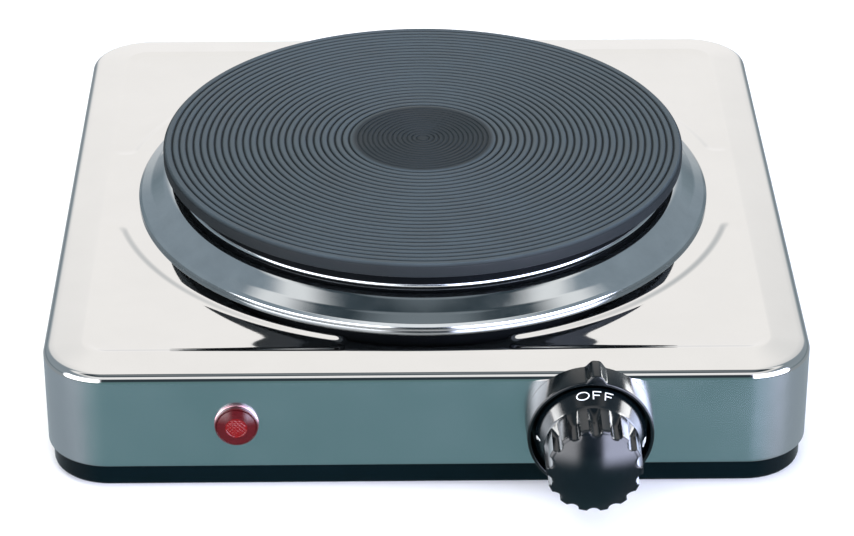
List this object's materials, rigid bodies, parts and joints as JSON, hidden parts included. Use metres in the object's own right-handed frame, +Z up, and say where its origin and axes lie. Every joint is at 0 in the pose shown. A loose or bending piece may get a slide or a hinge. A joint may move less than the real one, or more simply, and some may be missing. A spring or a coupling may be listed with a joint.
{
  "type": "hot plate burner",
  "caption": "Square countertop electric hot plate: mirror-polished steel housing, round grooved cast-iron plate in a trim ring, rotary heat knob and red pilot lamp.",
  "frame": {"origin": "bottom centre of the whole appliance, on the surface it stands on", "axes": "+Z up; the knob and lamp face -Y; +X to the right seen from the knob side"},
  "size_m": [0.247, 0.2866, 0.0634],
  "materials": {
    "stainless": "mirror-polished stainless sheet",
    "trim_steel": "polished, spun steel",
    "iron": "blackened, turned cooking face",
    "black_enamel": "gloss black enamel",
    "rubber": "moulded",
    "black_plastic": "glossy thermoset",
    "zinc": "bright zinc plate",
    "brass": "plain",
    "ceramic": "steatite",
    "magnesia": "pressed powder",
    "element": "oxidised heating alloy",
    "lens": "translucent red",
    "bulb_glass": "clear",
    "resistor": "lacquered",
    "insulation_black": "silicone",
    "insulation_brown": "silicone",
    "insulation_blue": "silicone",
    "insulation_green": "silicone",
    "bimetal": "rolled strip"
  },
  "bodies": {
    "root": {"top_housing": "stainless", "housing_posts": "zinc", "base_screws": "zinc", "base_pan": "black_enamel", "rubber_feet": "rubber", "hot_plate": "iron", "heating_coils": "element", "magnesia_packing": "magnesia", "plate_cover": "zinc", "plate_terminal_block": "ceramic", "plate_terminals": "brass", "trim_ring": "trim_steel", "plate_stud": "zinc", "stud_spacer": "zinc", "heat_shield": "zinc", "clamp_strap": "zinc", "stud_washer": "zinc", "stud_nut": "zinc", "knob_collar": "black_plastic", "thermostat_bush": "brass", "bush_nut": "brass", "thermostat_frame": "zinc", "arm_pivot_pin": "zinc", "bimetal_strip": "bimetal", "fixed_contact": "brass", "contact_insulator": "ceramic", "thermostat_terminals": "brass", "stack_rivets": "zinc", "lamp_lens": "lens", "lamp_body": "black_plastic", "lamp_terminals": "brass", "lamp_clip": "zinc", "neon_bulb": "bulb_glass", "lamp_resistor": "resistor", "cord_gland": "black_plastic", "gland_nut": "black_plastic", "mains_terminal_block": "ceramic", "terminal_sleeves": "brass", "clamp_screws": "brass", "block_screws": "zinc", "earth_screw": "brass", "earth_tag": "brass", "earth_nut": "brass", "wire_live": "insulation_brown", "wire_heater": "insulation_black", "wire_neutral": "insulation_blue", "wire_earth": "insulation_green", "wire_lamp": "insulation_black"},
    "knob_assembly": {"knob": "black_plastic", "knob_clip": "zinc", "thermostat_spindle": "zinc", "thermostat_cam": "ceramic", "spindle_ring": "zinc"},
    "contact_arm": {"contact_arm": "brass"}
  },
  "joints": [
    {"name": "knob_turn", "type": "hinge", "parent": "root", "child": "knob_assembly", "pos_m": [0.0515, -0.1257, 0.025], "axis": [0, 1, 0], "range_deg": [0, 300]},
    {"name": "contact_arm_pivot", "type": "hinge", "parent": "root", "child": "contact_arm", "pos_m": [0.0275, -0.1037, 0.035], "axis": [0, 1, 0], "range_deg": [0, 7.2]}
  ],
  "couplings": [
    {"joint": "contact_arm_pivot", "follows": "knob_turn", "ratio": 0.02375}
  ]
}
